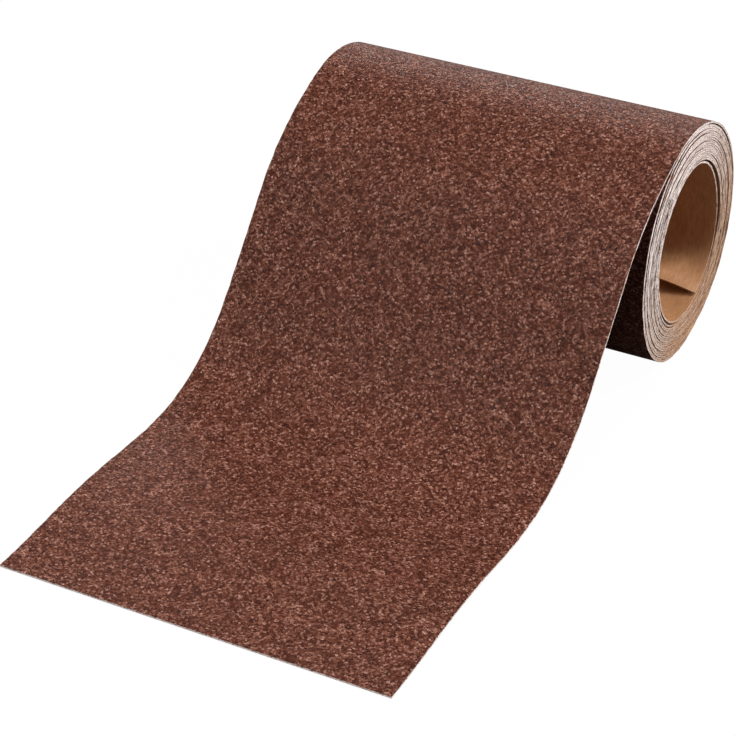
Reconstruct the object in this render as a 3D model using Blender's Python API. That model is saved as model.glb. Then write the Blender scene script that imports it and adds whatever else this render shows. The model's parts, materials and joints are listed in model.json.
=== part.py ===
"""A partly unrolled roll of abrasive paper: one long strip, wound without a core.

Metres, +Z up. The roll's axis is parallel to X, the free end runs out towards -Y and lies
on Z = 0. The origin is on that plane, under the middle of the whole object.

The strip is a kraft paper backing that carries an abrasive coat. It is cut into runs at the
lines where it turns, slides or bends: going inwards from the free end they are leader_tip,
leader_front, payout_run, floor_run, slope, outer_turn, loose_turn, coil and inner_end.
Each run is a pair of solids, one for the coat and one for the backing.
"""

import math

import bmesh
import bpy

# Strip
STRIP_WIDTH = 0.115
COAT_THICKNESS = 0.00026
BACKING_THICKNESS = 0.00024
LAYER_GAP = 0.00004
STRIP_THICKNESS = COAT_THICKNESS + LAYER_GAP + BACKING_THICKNESS
RUN_GAP = 0.0003  # between two runs, end to end

# Coil: a spiral whose outer surface starts at COIL_RADIUS. Angles go from the top towards
# +Y, which is the way inwards along the strip.
COIL_RADIUS = 0.03416
WINDING_PITCH = 0.000624
COIL_START = math.radians(105)
COIL_END = 18 * math.tau + math.radians(150)
SEGMENTS_PER_TURN = 24  # every run ends on this grid of angles
OUTER_TURN_END = math.radians(450)
LOOSE_TURN_END = OUTER_TURN_END + math.tau
INNER_END_ANGLE = math.radians(30)  # the last part of the last turn, which flexes
# Smooth departures from the spiral: height, angle of the middle and half the spread. The outer
# turn bulges at the bottom and the top, and the innermost turn hangs in before its end.
BOTTOM_BULGE = (0.00113, math.radians(180), math.radians(75))
TOP_BULGE = (0.0020, math.radians(345), math.radians(80))
INNER_END_SLACK = (0.0013, COIL_END - math.radians(80), math.radians(80))

# Crest: the outer turn's free half, a slightly larger arc that ends where the slope begins
CREST_RADIUS = 0.0359
CREST_END = math.radians(-24)

# Slope: the strip's fall from the crest to the floor, as a fall angle along its length
STEEPEST = math.radians(50)
CREST_EASE_LENGTH = 0.0443
FOOT_LENGTH = 0.0685
SLOPE_FLAT = 0.004  # short flat stretch at the end of the slope, before the floor run

# Runs on the floor, each from its own end nearest the roll
FLOOR_RUN_LENGTH = 0.012
PAYOUT_RUN_LENGTH = 0.016
LEADER_FRONT_LENGTH = 0.010
LEADER_TIP_LENGTH = 0.0225


def bump(angle, height, middle, spread):
    """A smooth rise that is highest at the middle and gone at spread to either side."""
    share = (angle - middle) / spread
    return height * math.cos(share * math.pi / 2) ** 2 if abs(share) < 1 else 0


def spiral_radius(angle):
    """Outer surface's distance from the coil's axis at an angle counted over all turns."""
    radius = COIL_RADIUS - WINDING_PITCH * (angle - COIL_START) / math.tau
    radius += bump(angle, *BOTTOM_BULGE) + bump(angle, *TOP_BULGE)
    return radius - bump(angle, *INNER_END_SLACK)


def ease(share):
    return share * share * (3 - 2 * share)


def arc_steps(start, end, segments_per_turn=SEGMENTS_PER_TURN):
    """Angles from start to end, with the ones between them on a grid shared by all turns."""
    step = math.tau / segments_per_turn
    first = math.floor(start / step + 1e-6) + 1
    last = math.ceil(end / step - 1e-6) - 1
    return [start] + [step * i for i in range(first, last + 1)] + [end]


def spiral_path(start, end, axis, segments_per_turn=SEGMENTS_PER_TURN):
    """Points of the outer surface with their outward directions, from start to end."""
    points = []
    for angle in arc_steps(start, end, segments_per_turn):
        out = (math.sin(angle), math.cos(angle))
        radius = spiral_radius(angle)
        points.append((axis[0] + radius * out[0], axis[1] + radius * out[1], out))
    return points


def crest_path(start, end, centre):
    points = []
    for angle in arc_steps(start, end, 2 * SEGMENTS_PER_TURN):
        out = (math.sin(angle), math.cos(angle))
        points.append((centre[0] + CREST_RADIUS * out[0], centre[1] + CREST_RADIUS * out[1], out))
    return points


def falling_path(start, length, angle_at, steps):
    """Points from start towards -Y, where angle_at(share) is how steeply the strip falls."""
    y, z = start
    points = [(y, z, outward(angle_at(0)))]
    for i in range(steps):
        fall = angle_at((i + 0.5) / steps)
        y -= math.cos(fall) * length / steps
        z -= math.sin(fall) * length / steps
        points.append((y, z, outward(angle_at((i + 1) / steps))))
    return points


def outward(fall):
    return (-math.sin(fall), math.cos(fall))


def slope_path(start):
    """From the crest's end down to the floor, where the top surface is STRIP_THICKNESS up."""
    crest_fall = -CREST_END
    ease_off = falling_path(
        start, CREST_EASE_LENGTH, lambda t: crest_fall + (STEEPEST - crest_fall) * ease(t), 12
    )
    foot_shape = falling_path((0, 0), FOOT_LENGTH, lambda t: STEEPEST * (1 - ease(t)), 18)
    foot_drop = -foot_shape[-1][1]
    top_y, top_z, _ = ease_off[-1]
    straight = (top_z - STRIP_THICKNESS - foot_drop) / math.sin(STEEPEST)
    foot_y = top_y - straight * math.cos(STEEPEST)
    foot_z = top_z - straight * math.sin(STEEPEST)
    foot = [(foot_y + y, foot_z + z, out) for y, z, out in foot_shape]
    end = (foot[-1][0] - SLOPE_FLAT, STRIP_THICKNESS, outward(0))
    return ease_off + foot + [end]


def flat_path(near_y, length):
    up = outward(0)
    return [(near_y, STRIP_THICKNESS, up), (near_y - length, STRIP_THICKNESS, up)]


def shortened(path, amount):
    """The path with its first and last stretches cut back, which leaves a gap to the next run."""

    def moved(end, inner):
        dy, dz = inner[0] - end[0], inner[1] - end[1]
        share = amount / math.hypot(dy, dz)
        out = tuple(a + share * (b - a) for a, b in zip(end[2], inner[2]))
        return (end[0] + share * dy, end[1] + share * dz, out)

    return [moved(path[0], path[1])] + path[1:-1] + [moved(path[-1], path[-2])]


def shifted(path, dy):
    return [(y + dy, z, out) for y, z, out in path]


def layer_mesh(name, path, depth, thickness, pivot):
    """A solid layer that follows the path, from depth to depth + thickness under its surface."""
    mesh = bpy.data.meshes.new(name)
    bm = bmesh.new()
    side = -STRIP_WIDTH / 2 - pivot[0]
    rows = []
    for y, z, out in path:
        rows.append([
            bm.verts.new((side, y - d * out[0] - pivot[1], z - d * out[1] - pivot[2]))
            for d in (depth, depth + thickness)
        ])
    faces = [
        bm.faces.new((a[0], a[1], b[1], b[0])) for a, b in zip(rows, rows[1:])
    ]
    made = bmesh.ops.extrude_face_region(bm, geom=faces, use_keep_orig=True)["geom"]
    far_side = [v for v in made if isinstance(v, bmesh.types.BMVert)]
    bmesh.ops.translate(bm, verts=far_side, vec=(STRIP_WIDTH, 0, 0))
    bmesh.ops.recalc_face_normals(bm, faces=bm.faces)
    bm.to_mesh(mesh)
    bm.free()
    mesh.set_sharp_from_angle(angle=math.radians(30))
    return mesh


def material(name, colour, roughness):
    made = bpy.data.materials.new(name)
    made.use_nodes = True
    shader = made.node_tree.nodes["Principled BSDF"]
    shader.inputs["Base Color"].default_value = (*colour, 1)
    shader.inputs["Roughness"].default_value = roughness
    shader.inputs["Metallic"].default_value = 0
    return made


def pivot_empty(name, position, parent=None):
    """An empty on a joint's axis. Its children's meshes are given relative to it."""
    empty = bpy.data.objects.new(name, None)
    empty.empty_display_size = 0.01
    empty["position"] = position
    if parent is not None:
        empty.parent = parent
        position = [a - b for a, b in zip(position, parent["position"])]
    empty.location = position
    bpy.context.scene.collection.objects.link(empty)
    return empty


def add_run(name, path, pivot, coat, backing):
    """The two layers of one run of the strip."""
    layers = (
        ("abrasive_coat", 0, COAT_THICKNESS, coat),
        ("paper_backing", COAT_THICKNESS + LAYER_GAP, BACKING_THICKNESS, backing),
    )
    for layer, depth, thickness, its_material in layers:
        full_name = f"{name}_{layer}"
        mesh = layer_mesh(full_name, path, depth, thickness, pivot["position"])
        mesh.materials.append(its_material)
        obj = bpy.data.objects.new(full_name, mesh)
        obj.parent = pivot
        bpy.context.scene.collection.objects.link(obj)


def build():
    for obj in list(bpy.data.objects):
        bpy.data.objects.remove(obj)

    coat = material("abrasive_coat", (0.115, 0.042, 0.030), 0.85)
    backing = material("kraft_backing", (0.50, 0.30, 0.15), 0.75)

    # The crest arc and the spiral touch at COIL_START, so their centres differ by the radii.
    coil_axis = (0.0, spiral_radius(math.pi))
    offset = CREST_RADIUS - COIL_RADIUS
    crest_centre = (
        coil_axis[0] - offset * math.sin(COIL_START),
        coil_axis[1] - offset * math.cos(COIL_START),
    )
    crest = crest_path(CREST_END, COIL_START, crest_centre)
    slope = slope_path(crest[0][:2])

    # Places of the flex lines along the floor, then the shift that centres the object on Y
    floor_y = slope[-1][0]
    payout_y = floor_y - FLOOR_RUN_LENGTH
    front_y = payout_y - PAYOUT_RUN_LENGTH
    tip_y = front_y - LEADER_FRONT_LENGTH
    edge_y = tip_y - LEADER_TIP_LENGTH
    back_y = crest_centre[0] + CREST_RADIUS
    shift = -(back_y + edge_y) / 2

    inner_line = COIL_END - INNER_END_ANGLE
    inner_surface = spiral_radius(inner_line) - STRIP_THICKNESS
    half = RUN_GAP / 2

    root = pivot_empty("root", (0, 0, 0))
    coil_pivot = pivot_empty("coil_axis", (0, coil_axis[0] + shift, coil_axis[1]), root)
    inner_pivot = pivot_empty(
        "inner_end_line",
        (
            0,
            coil_axis[0] + shift + inner_surface * math.sin(inner_line),
            coil_axis[1] + inner_surface * math.cos(inner_line),
        ),
        coil_pivot,
    )
    floor_pivot = pivot_empty("leader_lift_line", (0, floor_y + shift, STRIP_THICKNESS), root)
    front_pivot = pivot_empty("payout_slide", (0, front_y + shift, 0), floor_pivot)
    tip_pivot = pivot_empty("tip_curl_line", (0, tip_y + shift, STRIP_THICKNESS), front_pivot)

    outer_turn = crest + spiral_path(COIL_START, OUTER_TURN_END, coil_axis, 2 * SEGMENTS_PER_TURN)[1:]
    runs = (
        ("slope", slope, root),
        ("outer_turn", outer_turn, root),
        ("loose_turn", spiral_path(OUTER_TURN_END, LOOSE_TURN_END, coil_axis), root),
        ("coil", spiral_path(LOOSE_TURN_END, inner_line, coil_axis), coil_pivot),
        ("inner_end", spiral_path(inner_line, COIL_END, coil_axis), inner_pivot),
        ("floor_run", flat_path(floor_y, FLOOR_RUN_LENGTH), floor_pivot),
        ("payout_run", flat_path(payout_y, PAYOUT_RUN_LENGTH), floor_pivot),
        ("leader_front", flat_path(front_y, LEADER_FRONT_LENGTH), front_pivot),
        ("leader_tip", flat_path(tip_y, LEADER_TIP_LENGTH), tip_pivot),
    )
    for name, path, pivot in runs:
        add_run(name, shifted(shortened(path, half), shift), pivot, coat, backing)


build()
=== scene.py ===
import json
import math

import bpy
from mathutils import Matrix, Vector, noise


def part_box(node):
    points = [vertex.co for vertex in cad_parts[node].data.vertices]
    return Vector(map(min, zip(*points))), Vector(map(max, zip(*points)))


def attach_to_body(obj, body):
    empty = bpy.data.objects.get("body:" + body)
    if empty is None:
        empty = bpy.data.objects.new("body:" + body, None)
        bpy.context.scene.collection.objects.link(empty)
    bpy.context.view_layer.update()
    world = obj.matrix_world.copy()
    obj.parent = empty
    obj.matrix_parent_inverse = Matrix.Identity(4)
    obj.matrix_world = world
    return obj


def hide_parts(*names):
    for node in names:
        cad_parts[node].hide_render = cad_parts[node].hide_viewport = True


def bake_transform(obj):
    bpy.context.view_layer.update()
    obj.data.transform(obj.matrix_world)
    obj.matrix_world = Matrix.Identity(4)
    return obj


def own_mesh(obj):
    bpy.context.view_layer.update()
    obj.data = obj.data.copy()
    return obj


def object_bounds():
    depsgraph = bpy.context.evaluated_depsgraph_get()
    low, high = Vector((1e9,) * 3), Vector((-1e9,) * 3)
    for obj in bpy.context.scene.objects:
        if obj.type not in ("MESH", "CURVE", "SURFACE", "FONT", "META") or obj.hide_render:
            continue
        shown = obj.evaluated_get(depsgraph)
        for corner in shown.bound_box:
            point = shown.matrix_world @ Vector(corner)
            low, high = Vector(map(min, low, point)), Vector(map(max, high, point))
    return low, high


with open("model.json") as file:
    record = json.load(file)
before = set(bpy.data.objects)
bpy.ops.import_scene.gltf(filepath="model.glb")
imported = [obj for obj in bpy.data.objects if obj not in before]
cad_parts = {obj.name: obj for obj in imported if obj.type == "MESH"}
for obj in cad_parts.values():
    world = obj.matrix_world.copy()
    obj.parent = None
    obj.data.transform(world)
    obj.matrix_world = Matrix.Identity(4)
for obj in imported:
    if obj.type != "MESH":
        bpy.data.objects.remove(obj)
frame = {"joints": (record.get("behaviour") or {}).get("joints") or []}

# Looks of a partly unrolled roll of abrasive paper, in metres. One strip runs from the front
# edge, up the slope, over the crest and round the coil to its loose end in the bore. It is made
# as two layers, the grain coat and the kraft backing, and cut into pieces; those round the coil
# each ride on one body.

cad_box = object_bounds()

# Strip
COAT_THICKNESS = 0.00030
PAPER_THICKNESS = 0.00024
STRIP_THICKNESS = COAT_THICKNESS + PAPER_THICKNESS
BOND_OVERLAP = 0.00001  # how far the coat reaches into the paper
COAT_RAGGED = 0.00016  # how far sideways the slit edges wander
PAPER_RAGGED = 0.00010
RAGGED_PER_STATION = 1.7  # how fast they wander: steps through noise space
RAGGED_PER_LEVEL = 40  # keeps the slit edges from wandering alike
RAGGED_PER_COLUMN = 7
RAGGED_PER_DEPTH = 1e4
RAGGED_SEED = 0.5

# Mesh spacing
STATION_STEP = 0.002  # between cross-sections along the free part of the strip
ANGLE_STEP = 4  # between cross-sections round the coil
SEAM_STEP = 0.0003  # first and last in each piece, so that shading runs on over a seam
EDGE_COLUMNS = (0.0, 0.0005, 0.002)  # distances of the outermost points from the slit edges
FREE_SPACING = 0.004  # across the strip, on the free strip
TURN_SPACING = 0.008  # on the outermost and innermost turns
WOUND_SPACING = 0.02  # on the turns between them
FLAP_SPACING = 0.002  # on the loose inner end
SHARP_ANGLE = 40  # edges sharper than this aren't shaded smooth

# Coil: angles are in degrees from the top towards +Y, which is the way inwards along the strip
COIL_RADIUS = 0.03416
WINDING_PITCH = 0.000624  # how much the radius shrinks in a turn
COIL_START = 105  # where the crest's arc meets the coil
OUTER_TURN_END = 400  # where the turning part begins
INNER_EDGE = 18 * 360 + 159
INNER_END_START = INNER_EDGE - 37.4  # where the loose end flexes
BODY_GAP = 0.05  # left between two pieces that turn apart

# Crest and slope
CREST_RADIUS = 0.0359
CREST_END = -24  # where the arc ends, in front of the top
STEEPEST = 50  # degrees below level
CREST_EASE_LENGTH = 0.0443  # from the arc's end to where the slope is steepest
FOOT_LENGTH = 0.0685  # from there to where it lies level
SLOPE_FLAT = 0.004  # distance from the slope's end to the lift line, on the floor

# Departures from the spiral: angle at the middle, half the spread and height
OVAL_BULGES = ((345, 80, 0.0019), (207, 54, 0.0018))  # outwards, on every turn
SLACK_BUMPS = (  # inwards, where the innermost turns hang
    (INNER_EDGE - 84, 80, 0.0019),
    (INNER_EDGE - 294, 62, 0.0009),
    (INNER_EDGE - 654, 50, 0.00035),
)
TURN_SHIFT = 0.00045  # how far sideways a turn may sit
TURN_SHIFT_LENGTH = 130  # angle over which that changes
TURN_SHIFT_START = 300  # angle over which it begins
TURN_SHIFT_SEED = (51.9, 15.3)
ECCENTRICITY = 0.0008  # how far behind the axis the innermost turn's centre lies
INNER_LIFT = 0.0034  # how far the inner edge stands off the wall, except by its +X corner
INNER_LIFT_SPREAD = 37  # angle over which it rises
INNER_LIFT_DEPTH = 0.018  # distance from the +X corner over which it rises
INNER_CORNER_PAST = 0.001  # how far past that corner the rise begins

# The free strip: it arches a little over the floor and has run to one side at its front edge
ARCH_HEIGHT = 0.0012
ARCH_MIDDLE = -0.072  # y
ARCH_SPREAD = 0.038  # half the arch's length
FRONT_DRIFT = 0.001
DRIFT_START = -0.050  # y

# Sizes in the materials
GRAIN = 0.00062
FINE_GRAIN = 0.00036
GRAIN_BLOTCH = 0.011
CHIP = 0.00040  # of broken grain on the slit side
CLOUD = 0.006  # in the paper
FIBRE = 0.0006
ALONG_FIBRE = 0.22  # how much slower the fibres change along the strip than across
FLUFF = 0.00045  # on the paper's slit side

# Paler tone on the slit sides
PALE_SIDE = (-0.6, 0.8)  # direction (y, z) from the coil's axis to its paler part
PALE_FROM = -0.030  # where along it the paler tone starts
PALE_FULL = 0.032  # where it is palest
PALE_PATCH = 0.004  # size of its uneven patches
PALE_UNEVEN = 0.03  # how far its border wanders

# Camera and studio
CAMERA_TARGET = Vector((-0.0015, -0.0102, 0.0223))
CAMERA_AZIMUTH = 28.16
CAMERA_ELEVATION = 31.64
CAMERA_DISTANCE = 0.7199
CAMERA_LENS = 127.7
LIGHT_AIM = Vector((0, 0.02, 0.02))
LIGHTS = (  # name, place, diameter, power
    ("key", (1.0, 0.65, 1.25), 0.6, 23),
    ("front", (-0.15, -0.9, 1.25), 0.7, 20.5),
    ("side", (1.3, 0.15, 0.30), 0.4, 8.3),
    ("back", (-0.5, 1.25, 0.50), 0.5, 7),
)
WORLD_STRENGTH = 0.06
WHITE_STRENGTH = 1.15  # of the white that the camera sees round the object
WORLD_WHITE_SHARE = 1.0
FLOOR_WHITE_SHARE = 0.85  # less than 1 lets a faint shadow show
FLOOR_GREY = 0.12
FLOOR_HALF = 3.0
FLOOR_LEVEL = -0.0001

joint = {j["name"]: j for j in frame["joints"]}
AXIS_Y, AXIS_Z = joint["coil_turn"]["pos_m"][1:]
LIFT_Y = joint["leader_lift"]["pos_m"][1]
TIP_Y = joint["tip_curl"]["pos_m"][1]
PAYOUT_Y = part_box("payout_run_abrasive_coat")[1].y
FRONT_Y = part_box("payout_run_abrasive_coat")[0].y
EDGE_Y = cad_box[0][1]
HALF_WIDTH = cad_box[1][0]


def ease(share):
    """From 0 to 1 with level ends."""
    share = min(max(share, 0), 1)
    return share * share * (3 - 2 * share)


# ---- the strip's path: stations (y, z, outward y, outward z, angle or None) -----------------

def bump(from_middle, spread, height):
    """Height of a smooth hump at a distance from its middle."""
    share = abs(from_middle) / spread
    return height * math.cos(math.radians(90 * share)) ** 2 if share < 1 else 0


def spiral_radius(angle):
    """Distance of the strip's outer surface from the coil's axis."""
    inwards = (angle - COIL_START) / (INNER_EDGE - COIL_START)
    radius = COIL_RADIUS - WINDING_PITCH * (angle - COIL_START) / 360
    radius += ECCENTRICITY * inwards * math.sin(math.radians(angle))
    for middle, spread, height in OVAL_BULGES:
        radius += bump((angle - middle + 180) % 360 - 180, spread, height)
    for middle, spread, height in SLACK_BUMPS:
        radius -= bump(angle - middle, spread, height)
    return radius


def spiral_station(angle):
    out_y, out_z = math.sin(math.radians(angle)), math.cos(math.radians(angle))
    radius = spiral_radius(angle)
    return (AXIS_Y + radius * out_y, AXIS_Z + radius * out_z, out_y, out_z, angle)


def crest_station(angle):
    """On the crest's wider arc, which touches the coil at COIL_START."""
    out_y, out_z = math.sin(math.radians(angle)), math.cos(math.radians(angle))
    start = math.radians(COIL_START)
    offset = CREST_RADIUS - COIL_RADIUS
    centre_y = AXIS_Y - offset * math.sin(start)
    centre_z = AXIS_Z - offset * math.cos(start)
    return (centre_y + CREST_RADIUS * out_y, centre_z + CREST_RADIUS * out_z, out_y, out_z, None)


def turn_steps(start, end):
    """Angles from start to end on the grid that all turns share, close together at both ends."""
    seam = math.degrees(SEAM_STEP / COIL_RADIUS)
    first = math.floor((start + seam) / ANGLE_STEP) + 1
    last = math.ceil((end - seam) / ANGLE_STEP) - 1
    grid = [ANGLE_STEP * i for i in range(first, last + 1)]
    return [start, start + seam] + grid + [end - seam, end]


def falling(start_y, start_z, length, fall_at):
    """Stations from a point towards -Y, where fall_at(share) is the strip's fall in degrees."""
    steps = max(2, round(length / STATION_STEP))
    y, z = start_y, start_z
    stations = []
    for i in range(steps):
        fall = math.radians(fall_at((i + 0.5) / steps))
        y -= math.cos(fall) * length / steps
        z -= math.sin(fall) * length / steps
        fall = math.radians(fall_at((i + 1) / steps))
        stations.append((y, z, -math.sin(fall), math.cos(fall), None))
    return stations


def slope_stations():
    """From the crest's end down to the floor, just before the lift line."""
    crest_fall = -CREST_END
    top = crest_station(CREST_END)
    stations = falling(
        top[0], top[1], CREST_EASE_LENGTH, lambda t: crest_fall + (STEEPEST - crest_fall) * ease(t)
    )
    foot_drop = -falling(0, 0, FOOT_LENGTH, lambda t: STEEPEST * (1 - ease(t)))[-1][1]
    y, z = stations[-1][:2]
    straight = (z - STRIP_THICKNESS - foot_drop) / math.sin(math.radians(STEEPEST))
    stations += falling(y, z, straight, lambda t: STEEPEST)
    y, z = stations[-1][:2]
    stations += falling(y, z, FOOT_LENGTH, lambda t: STEEPEST * (1 - ease(t)))
    return stations


def flat_stations(near_y, far_y):
    """Stations on the floor between two places, close together at both ends."""
    steps = max(2, round((near_y - far_y) / STATION_STEP))
    even = [near_y - (near_y - far_y) * i / steps for i in range(1, steps)]
    ys = [near_y, near_y - SEAM_STEP, *even, far_y + SEAM_STEP, far_y]
    return [(y, STRIP_THICKNESS, 0.0, 1.0, None) for y in ys]


# ---- small irregularities -------------------------------------------------------------------

def side_shift(station):
    """How far the strip sits to one side, as it runs out askew and its turns don't line up."""
    y, angle = station[0], station[4]
    if angle is None:
        return FRONT_DRIFT * ease((DRIFT_START - y) / (DRIFT_START - EDGE_Y))
    settle = ease((angle - COIL_START) / TURN_SHIFT_START)
    return TURN_SHIFT * settle * noise.noise(Vector((angle / TURN_SHIFT_LENGTH, *TURN_SHIFT_SEED)))


def arch(station):
    """How far the free strip stands over the floor."""
    y, angle = station[0], station[4]
    return bump(y - ARCH_MIDDLE, ARCH_SPREAD, ARCH_HEIGHT) if angle is None else 0


def inner_lift(station, x):
    """How far inwards the loose end stands, apart from its corner by the coil's +X side."""
    angle = station[4]
    if angle is None or angle < INNER_EDGE - INNER_LIFT_SPREAD:
        return 0
    along = ease((angle - INNER_EDGE + INNER_LIFT_SPREAD) / INNER_LIFT_SPREAD)
    from_corner = HALF_WIDTH + INNER_CORNER_PAST - x
    across = math.sin(math.pi / 2 * min(from_corner / INNER_LIFT_DEPTH, 1))
    return INNER_LIFT * along * across


# ---- meshes ---------------------------------------------------------------------------------

def columns(spacing):
    """Places across the strip, close together by its two long edges."""
    first, second, third = (HALF_WIDTH - distance for distance in EDGE_COLUMNS)
    count = max(2, round(2 * third / spacing))
    inner = [-third + 2 * third * i / count for i in range(count + 1)]
    return [-first, -second, *inner, second, first]


def layer(name, stations, spacing, depth, thickness, ragged, materials):
    """One closed layer of the strip, from depth to depth + thickness under its outer surface.

    The first material is for its two faces, the second for the sides where it was cut.
    """
    xs = columns(spacing)
    across = len(xs)
    verts = []
    for row, station in enumerate(stations):
        y, z, out_y, out_z, _ = station
        z += arch(station)
        shift = side_shift(station)
        for level in (0, 1):
            for column, x in enumerate(xs):
                inwards = depth + level * thickness + inner_lift(station, x)
                x_here = x + shift
                if column in (0, across - 1):
                    place = RAGGED_PER_STATION * row + RAGGED_PER_LEVEL * level
                    place += RAGGED_PER_COLUMN * column
                    wander = noise.noise(Vector((place, RAGGED_PER_DEPTH * depth, RAGGED_SEED)))
                    x_here += math.copysign(1, x) * ragged * wander
                verts.append((x_here, y - inwards * out_y, z - inwards * out_z))
    faces, cut = [], []
    for row in range(len(stations) - 1):
        a, b = 2 * across * row, 2 * across * (row + 1)
        for i in range(across - 1):
            low_a, low_b = a + across + i, b + across + i
            faces.append((a + i, a + i + 1, b + i + 1, b + i))
            faces.append((low_a, low_b, low_b + 1, low_a + 1))
            cut += [0, 0]
        faces.append((a, b, b + across, a + across))
        faces.append((a + across - 1, a + 2 * across - 1, b + 2 * across - 1, b + across - 1))
        cut += [1, 1]
    last = 2 * across * (len(stations) - 1)
    for i in range(across - 1):
        faces.append((i, i + across, i + across + 1, i + 1))
        faces.append((last + i, last + i + 1, last + across + i + 1, last + across + i))
        cut += [1, 1]
    mesh = bpy.data.meshes.new(name)
    mesh.from_pydata(verts, [], faces)
    for material in materials:
        mesh.materials.append(material)
    mesh.polygons.foreach_set("material_index", cut)
    mesh.polygons.foreach_set("use_smooth", [True] * len(faces))
    mesh.set_sharp_from_angle(angle=math.radians(SHARP_ANGLE))
    mesh.validate()
    obj = bpy.data.objects.new(name, mesh)
    bpy.context.scene.collection.objects.link(obj)
    return obj


def strip_pieces(name, stations, spacing, attach, runs):
    """Both layers of one stretch of the strip, in place of the same layers of the CAD's runs.

    attach(piece) puts a piece on its body, or leaves it where it is.
    """
    coat_depth = COAT_THICKNESS + BOND_OVERLAP
    coat = layer(f"{name}_grain", stations, spacing, 0, coat_depth, COAT_RAGGED, GRAIN_LOOK)
    paper = layer(
        f"{name}_paper",
        stations,
        spacing,
        COAT_THICKNESS,
        PAPER_THICKNESS,
        PAPER_RAGGED,
        PAPER_LOOK,
    )
    for piece, cad_layer, slot in (
        (coat, "abrasive_coat", "abrasive_coat"),
        (paper, "paper_backing", "kraft_backing"),
    ):
        attach(piece)
        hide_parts(*[f"{run}_{cad_layer}" for run in runs])


# ---- materials ------------------------------------------------------------------------------

class Tree:
    """Short calls for the few kinds of shader node that the materials use."""

    def __init__(self, name):
        self.material = bpy.data.materials.new(name)
        self.material.use_nodes = True
        self.tree = self.material.node_tree
        self.shader = self.tree.nodes["Principled BSDF"]
        self.place = self.node("ShaderNodeTexCoord").outputs["Object"]

    def node(self, kind, **settings):
        made = self.tree.nodes.new(kind)
        for key, value in settings.items():
            setattr(made, key, value)
        return made

    def link(self, a, b):
        self.tree.links.new(a, b)

    def stretched(self, scale):
        """Place on the object, scaled by axis."""
        mapping = self.node("ShaderNodeMapping")
        mapping.inputs["Scale"].default_value = scale
        self.link(self.place, mapping.inputs["Vector"])
        return mapping.outputs["Vector"]

    def noise(self, size, detail=2.0, roughness=0.5, vector=None):
        made = self.node("ShaderNodeTexNoise")
        made.inputs["Scale"].default_value = 1 / size
        made.inputs["Detail"].default_value = detail
        made.inputs["Roughness"].default_value = roughness
        self.link(vector or self.place, made.inputs["Vector"])
        return made.outputs["Fac"]

    def cells(self, size):
        made = self.node("ShaderNodeTexVoronoi")
        made.inputs["Scale"].default_value = 1 / size
        self.link(self.place, made.inputs["Vector"])
        return made

    def ramp(self, value, *stops):
        made = self.node("ShaderNodeValToRGB")
        elements = made.color_ramp.elements
        while len(elements) < len(stops):
            elements.new(0.5)
        for element, (position, colour) in zip(elements, stops):
            element.position = position
            element.color = (*colour, 1)
        self.link(value, made.inputs["Fac"])
        return made.outputs["Color"]

    def math(self, operation, a, b):
        made = self.node("ShaderNodeMath", operation=operation)
        for socket, value in zip(made.inputs, (a, b)):
            if isinstance(value, (int, float)):
                socket.default_value = value
            else:
                self.link(value, socket)
        return made.outputs[0]

    def mix(self, share, a, b, blend="MIX"):
        made = self.node("ShaderNodeMix", data_type="RGBA", blend_type=blend)
        for socket, value in ((made.inputs[0], share), (made.inputs[6], a), (made.inputs[7], b)):
            if isinstance(value, (int, float)):
                socket.default_value = value
            elif isinstance(value, tuple):
                socket.default_value = (*value, 1)
            else:
                self.link(value, socket)
        return made.outputs[2]

    def grey(self, colour):
        """One channel of a random colour, as a random number."""
        made = self.node("ShaderNodeSeparateColor")
        self.link(colour, made.inputs[0])
        return made.outputs[0]

    def pale_share(self):
        """Share of a paler tone on a slit side: most at the coil's upper front, least opposite."""
        towards = self.node("ShaderNodeVectorMath", operation="DOT_PRODUCT")
        self.link(self.place, towards.inputs[0])
        towards.inputs[1].default_value = (0, *PALE_SIDE)
        patches = self.math("SUBTRACT", self.noise(PALE_PATCH), 0.5)
        uneven = self.math("MULTIPLY", patches, PALE_UNEVEN)
        fade = self.node("ShaderNodeMapRange", interpolation_type="SMOOTHSTEP")
        self.link(self.math("ADD", towards.outputs["Value"], uneven), fade.inputs["Value"])
        middle = PALE_SIDE[0] * AXIS_Y + PALE_SIDE[1] * AXIS_Z
        fade.inputs["From Min"].default_value = middle + PALE_FROM
        fade.inputs["From Max"].default_value = middle + PALE_FULL
        return fade.outputs["Result"]

    def bump(self, height, strength, distance):
        made = self.node("ShaderNodeBump")
        made.inputs["Strength"].default_value = strength
        made.inputs["Distance"].default_value = distance
        self.link(height, made.inputs["Height"])
        self.link(made.outputs["Normal"], self.shader.inputs["Normal"])

    def finish(self, colour, roughness, specular=0.5):
        self.link(colour, self.shader.inputs["Base Color"])
        if isinstance(roughness, (int, float)):
            self.shader.inputs["Roughness"].default_value = roughness
        else:
            self.link(roughness, self.shader.inputs["Roughness"])
        self.shader.inputs["Specular IOR Level"].default_value = specular
        return self.material


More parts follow.
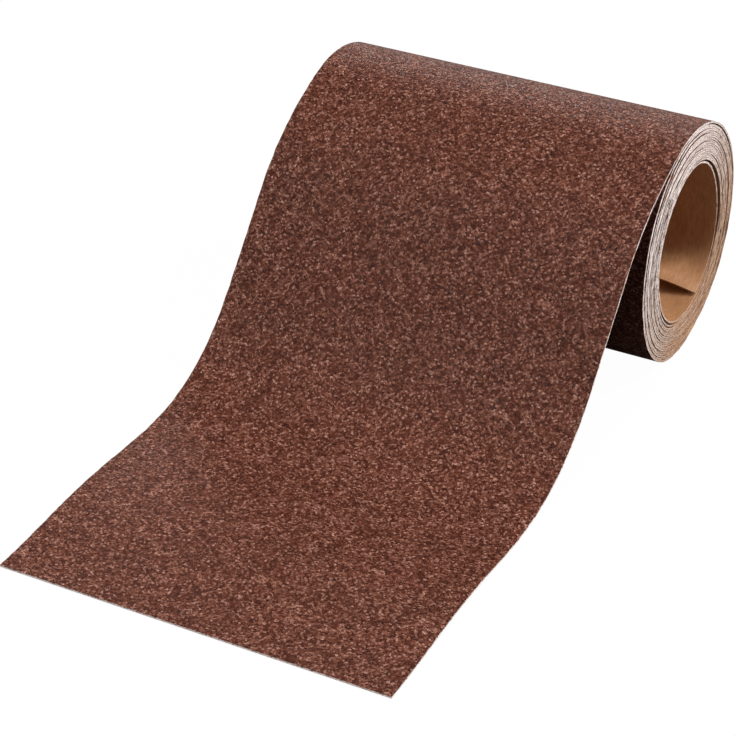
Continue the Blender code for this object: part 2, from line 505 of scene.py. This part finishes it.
def grain_material():
    """Close-packed grains in red-brown resin: each grain has its own shade, some pale or dark."""
    t = Tree("abrasive_grain")
    grains = t.cells(GRAIN)
    fine = t.cells(FINE_GRAIN)
    shade = t.math(
        "ADD",
        t.math("MULTIPLY", t.grey(grains.outputs["Color"]), 0.62),
        t.math("MULTIPLY", t.grey(fine.outputs["Color"]), 0.38),
    )
    colour = t.ramp(
        shade,
        (0.08, (0.020, 0.003, 0.001)),
        (0.32, (0.056, 0.011, 0.004)),
        (0.55, (0.100, 0.028, 0.014)),
        (0.78, (0.190, 0.078, 0.052)),
        (0.96, (0.400, 0.220, 0.170)),
    )
    blotches = t.ramp(
        t.noise(GRAIN_BLOTCH, 3.0, 0.6),
        (0.30, (0.90, 0.88, 0.87)),
        (0.70, (1.10, 1.08, 1.08)),
    )
    colour = t.mix(1.0, colour, blotches, "MULTIPLY")
    height = t.math("SUBTRACT", 1.0, grains.outputs["Distance"])
    height = t.math("ADD", height, t.math("MULTIPLY", fine.outputs["Distance"], -0.5))
    t.bump(height, 0.55, 0.00022)
    rough = t.ramp(t.grey(fine.outputs["Color"]), (0.05, (0.40,) * 3), (0.25, (0.80,) * 3))
    return t.finish(colour, rough, 0.2)


def grain_edge_material():
    """The coat's slit side: broken grain and resin, paler towards the coil's upper front."""
    t = Tree("slit_grain")
    chips = t.grey(t.cells(CHIP).outputs["Color"])
    base_look = t.ramp(
        chips,
        (0.08, (0.12, 0.045, 0.025)),
        (0.30, (0.34, 0.19, 0.13)),
        (0.85, (0.46, 0.29, 0.20)),
    )
    # a paler version, laid on towards the coil's upper front
    pale_look = t.ramp(
        chips,
        (0.06, (0.22, 0.12, 0.10)),
        (0.32, (0.62, 0.49, 0.45)),
        (0.85, (0.84, 0.74, 0.70)),
    )
    t.bump(chips, 0.5, 0.00015)
    return t.finish(t.mix(t.pale_share(), base_look, pale_look), 0.85, 0.3)


def kraft_material():
    """Smooth brown paper: cloudy formation, and fine fibres along the strip."""
    t = Tree("kraft_paper")
    clouds = t.noise(CLOUD, 4.0, 0.6)
    fibres = t.noise(FIBRE, 3.0, 0.65, t.stretched((1.0, ALONG_FIBRE, ALONG_FIBRE)))
    cloudy = t.ramp(
        clouds,
        (0.30, (0.42, 0.182, 0.072)),
        (0.70, (0.58, 0.290, 0.133)),
    )
    fibrous = t.ramp(
        fibres,
        (0.3, (0.32, 0.132, 0.049)),
        (0.7, (0.67, 0.38, 0.195)),
    )
    colour = t.mix(0.42, cloudy, fibrous)
    t.bump(t.math("ADD", fibres, t.math("MULTIPLY", clouds, 2.0)), 0.25, 0.00008)
    return t.finish(colour, 0.5, 0.5)


def paper_edge_material():
    """The backing's slit side: torn fibres, tan, and paler towards the coil's upper front."""
    t = Tree("slit_paper")
    fluff = t.noise(FLUFF, 3.0, 0.7)
    base_look = t.ramp(
        fluff,
        (0.30, (0.40, 0.25, 0.155)),
        (0.65, (0.60, 0.42, 0.29)),
    )
    # a paler version, laid on towards the coil's upper front
    pale_look = t.ramp(
        fluff,
        (0.34, (0.52, 0.42, 0.38)),
        (0.56, (0.92, 0.84, 0.80)),
    )
    t.bump(fluff, 0.4, 0.0001)
    return t.finish(t.mix(t.pale_share(), base_look, pale_look), 0.9, 0.2)


GRAIN_LOOK = (grain_material(), grain_edge_material())
PAPER_LOOK = (kraft_material(), paper_edge_material())


# ---- pieces ---------------------------------------------------------------------------------

def riding(body):
    """Attaches a piece to one body."""
    return lambda piece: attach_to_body(piece, body)


def across_floor_line():
    """Leaves a piece on no body, with its place baked into its mesh."""
    def attach(piece):
        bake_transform(piece)
    return attach


def build_free_strip():
    """From the crest's back to the front edge, in three pieces that each cross one joint."""
    mid_floor = (LIFT_Y + PAYOUT_Y) / 2
    mid_front = (FRONT_Y + TIP_Y) / 2
    crest = [crest_station(a) for a in turn_steps(CREST_END, COIL_START)][::-1]
    falling_part = slope_stations() + flat_stations(LIFT_Y + SLOPE_FLAT, mid_floor)[1:]
    strip_pieces(
        "slope",
        crest + falling_part,
        FREE_SPACING,
        across_floor_line(),
        ["slope"],
    )
    strip_pieces(
        "payout",
        flat_stations(mid_floor, mid_front),
        FREE_SPACING,
        across_floor_line(),
        ["floor_run", "payout_run"],
    )
    strip_pieces(
        "leader",
        flat_stations(mid_front, EDGE_Y),
        FREE_SPACING,
        across_floor_line(),
        ["leader_front", "leader_tip"],
    )


def turning(body):
    """Attaches a piece of the coil to one body, and gives it a mesh of its own."""
    def attach(piece):
        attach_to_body(piece, body)
        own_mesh(piece)
    return attach


def build_coil():
    """From the crest's back to the loose end in the bore, in four pieces, each on one body."""
    fixed, coil, flap = riding("outer_turn"), turning("coil"), turning("inner_end")
    outer_end = OUTER_TURN_END - BODY_GAP
    last_start = INNER_END_START - 360
    last_end = INNER_END_START - BODY_GAP
    for name, start, end, spacing, attach, runs in (
        ("outer_turn", COIL_START, outer_end, TURN_SPACING, fixed, ["outer_turn"]),
        ("wound_turns", OUTER_TURN_END, last_start, WOUND_SPACING, coil, ["loose_turn", "coil"]),
        ("last_turn", last_start, last_end, TURN_SPACING, coil, ["coil"]),
        ("inner_end", INNER_END_START, INNER_EDGE, FLAP_SPACING, flap, ["inner_end"]),
    ):
        stations = [spiral_station(a) for a in turn_steps(start, end)]
        strip_pieces(name, stations, spacing, attach, runs)


# ---- stage ----------------------------------------------------------------------------------

def seen_white(tree, output, shader, white_share):
    """Camera rays see plain white for white_share of the shader; light bounces off it as it is."""
    white = tree.nodes.new("ShaderNodeEmission")
    path = tree.nodes.new("ShaderNodeLightPath")
    share = tree.nodes.new("ShaderNodeMath")
    share.operation = "MULTIPLY"
    share.inputs[1].default_value = white_share
    white.inputs["Strength"].default_value = WHITE_STRENGTH
    mix = tree.nodes.new("ShaderNodeMixShader")
    tree.links.new(path.outputs["Is Camera Ray"], share.inputs[0])
    tree.links.new(share.outputs[0], mix.inputs["Fac"])
    tree.links.new(shader, mix.inputs[1])
    tree.links.new(white.outputs[0], mix.inputs[2])
    tree.links.new(mix.outputs[0], output)


def build_floor():
    mesh = bpy.data.meshes.new("floor")
    corners = [
        (side_x * FLOOR_HALF, side_y * FLOOR_HALF, FLOOR_LEVEL)
        for side_x, side_y in ((-1, -1), (1, -1), (1, 1), (-1, 1))
    ]
    mesh.from_pydata(corners, [], [(0, 1, 2, 3)])
    floor = bpy.data.objects.new("floor", mesh)
    bpy.context.scene.collection.objects.link(floor)
    material = bpy.data.materials.new("floor")
    material.use_nodes = True
    nodes = material.node_tree.nodes
    shader = nodes["Principled BSDF"]
    shader.inputs["Base Color"].default_value = (FLOOR_GREY, FLOOR_GREY, FLOOR_GREY, 1)
    shader.inputs["Roughness"].default_value = 0.9
    shader.inputs["Specular IOR Level"].default_value = 0.1
    surface = nodes["Material Output"].inputs["Surface"]
    seen_white(material.node_tree, surface, shader.outputs[0], FLOOR_WHITE_SHARE)
    mesh.materials.append(material)


def area_light(name, place, size, power):
    data = bpy.data.lights.new(name, "AREA")
    data.shape = "DISK"
    data.size = size
    data.energy = power
    light = bpy.data.objects.new(name, data)
    light.location = place
    light.rotation_euler = (LIGHT_AIM - light.location).to_track_quat("-Z", "Y").to_euler()
    bpy.context.scene.collection.objects.link(light)


def build_lights():
    world = bpy.data.worlds.new("studio")
    world.use_nodes = True
    background = world.node_tree.nodes["Background"]
    background.inputs["Color"].default_value = (1, 1, 1, 1)
    background.inputs["Strength"].default_value = WORLD_STRENGTH
    surface = world.node_tree.nodes["World Output"].inputs["Surface"]
    seen_white(world.node_tree, surface, background.outputs[0], WORLD_WHITE_SHARE)
    bpy.context.scene.world = world
    for light in LIGHTS:
        area_light(*light)


def build_camera():
    azimuth, elevation = math.radians(CAMERA_AZIMUTH), math.radians(CAMERA_ELEVATION)
    away = Vector((
        math.sin(azimuth) * math.cos(elevation),
        -math.cos(azimuth) * math.cos(elevation),
        math.sin(elevation),
    ))
    data = bpy.data.cameras.new("camera")
    data.lens = CAMERA_LENS
    camera = bpy.data.objects.new("camera", data)
    camera.matrix_world = (
        Matrix.Translation(CAMERA_TARGET + CAMERA_DISTANCE * away)
        @ away.to_track_quat("Z", "Y").to_matrix().to_4x4()
    )
    bpy.context.scene.collection.objects.link(camera)
    bpy.context.scene.camera = camera


build_free_strip()
build_coil()
build_floor()
build_lights()
build_camera()
bpy.context.scene.view_settings.view_transform = "Standard"
